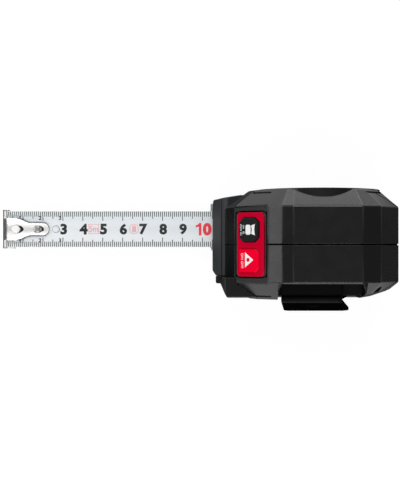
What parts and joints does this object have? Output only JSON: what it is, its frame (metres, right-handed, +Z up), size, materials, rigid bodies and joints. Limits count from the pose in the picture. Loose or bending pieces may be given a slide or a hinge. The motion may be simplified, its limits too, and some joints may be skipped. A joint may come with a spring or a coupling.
{
  "type": "tape measure",
  "caption": "Pocket tape measure with a laser distance meter in one bevelled case, spring reel, steel blade with riveted hook, red keypad, round display and belt clip.",
  "frame": {"origin": "on the base, under the reel axis, on the seam between the case halves", "axes": "+Z up; -X the way the blade leaves; +Y the display side, -Y the belt clip side"},
  "size_m": [0.1935, 0.0587, 0.074],
  "materials": {
    "case_black": "fine moulded grain",
    "bumper_grey": "satin",
    "lip_grey": "worn satin",
    "steel": "bright",
    "inner_plastic": "plain",
    "blade_print": "satin lacquer",
    "nickel": "polished",
    "spring_steel": "oiled",
    "pad_rubber": "dull",
    "panel_red": "satin",
    "button_red": "satin",
    "button_black": "satin",
    "board_green": "lacquered",
    "shroud_black": "glossy",
    "window_smoke": "glossy",
    "lens_red": "clear",
    "lcd": "satin",
    "cell_jacket": "gloss",
    "contact": "bright",
    "clip_black": "satin"
  },
  "bodies": {
    "case": {"case_display_side": "case_black", "case_clip_side": "case_black", "front_bumper": "bumper_grey", "mouth_lip": "lip_grey", "case_screw_1": "steel", "case_screw_2": "steel", "case_screw_3": "steel", "case_screw_4": "steel", "reel_partition": "inner_plastic", "reel_post": "steel", "lever_pin": "steel", "lever_spring": "spring_steel", "button_panel": "panel_red", "keypad_board": "board_green", "measure_switch": "inner_plastic", "mode_switch": "inner_plastic", "main_board": "board_green", "laser_shroud": "shroud_black", "laser_window": "window_smoke", "laser_module": "inner_plastic", "emitter_lens": "lens_red", "receiver_lens": "lens_red", "display_bezel": "inner_plastic", "display_window": "window_smoke", "lcd_panel": "lcd", "battery_cell_1": "cell_jacket", "battery_cell_2": "cell_jacket", "battery_spring_1": "spring_steel", "battery_spring_2": "spring_steel", "battery_plate": "contact", "belt_clip": "clip_black", "clip_screw": "steel"},
    "tape": {"blade": "blade_print", "hook_rivet_front": "nickel", "hook_rivet_rear": "nickel", "blade_rivet": "nickel"},
    "hook": {"end_hook": "nickel"},
    "reel": {"drum": "inner_plastic", "drum_cover": "inner_plastic", "blade_coil": "blade_print", "power_spring": "spring_steel"},
    "lever": {"release_lever": "inner_plastic", "brake_pad": "pad_rubber"},
    "measure_key": {"measure_button": "button_red"},
    "mode_key": {"mode_button": "button_black"},
    "door": {"battery_door": "case_black", "door_contact": "contact"}
  },
  "joints": [
    {"name": "blade_slide", "type": "slide", "parent": "case", "child": "tape", "axis": [1, 0, 0], "range_m": [0, 0.1028], "deforming": ["blade"]},
    {"name": "hook_float", "type": "slide", "parent": "tape", "child": "hook", "axis": [-1, 0, 0], "range_m": [0, 0.001]},
    {"name": "drum_spin", "type": "hinge", "parent": "case", "child": "reel", "pos_m": [0, 0, 0.0375], "axis": [0, 1, 0], "range_deg": [-212, 1], "deforming": ["power_spring"]},
    {"name": "lever_press", "type": "hinge", "parent": "case", "child": "lever", "pos_m": [-0.0295, 0.0081, 0.0044], "axis": [0, -1, 0], "range_deg": [0, 7], "stiffness_Nm_per_rad": 0.005, "deforming": ["lever_spring"]},
    {"name": "measure_press", "type": "slide", "parent": "case", "child": "measure_key", "axis": [0.6157, 0, -0.7879], "range_m": [0, 0.0006], "stiffness_N_per_m": 300},
    {"name": "mode_press", "type": "slide", "parent": "case", "child": "mode_key", "axis": [0.6157, 0, -0.7879], "range_m": [0, 0.0006], "stiffness_N_per_m": 300},
    {"name": "door_slide", "type": "slide", "parent": "case", "child": "door", "axis": [0, -1, 0], "range_m": [0, 0.014]}
  ],
  "couplings": [
    {"joint": "drum_spin", "follows": "blade_slide", "rad_per_m": -35.714}
  ]
}
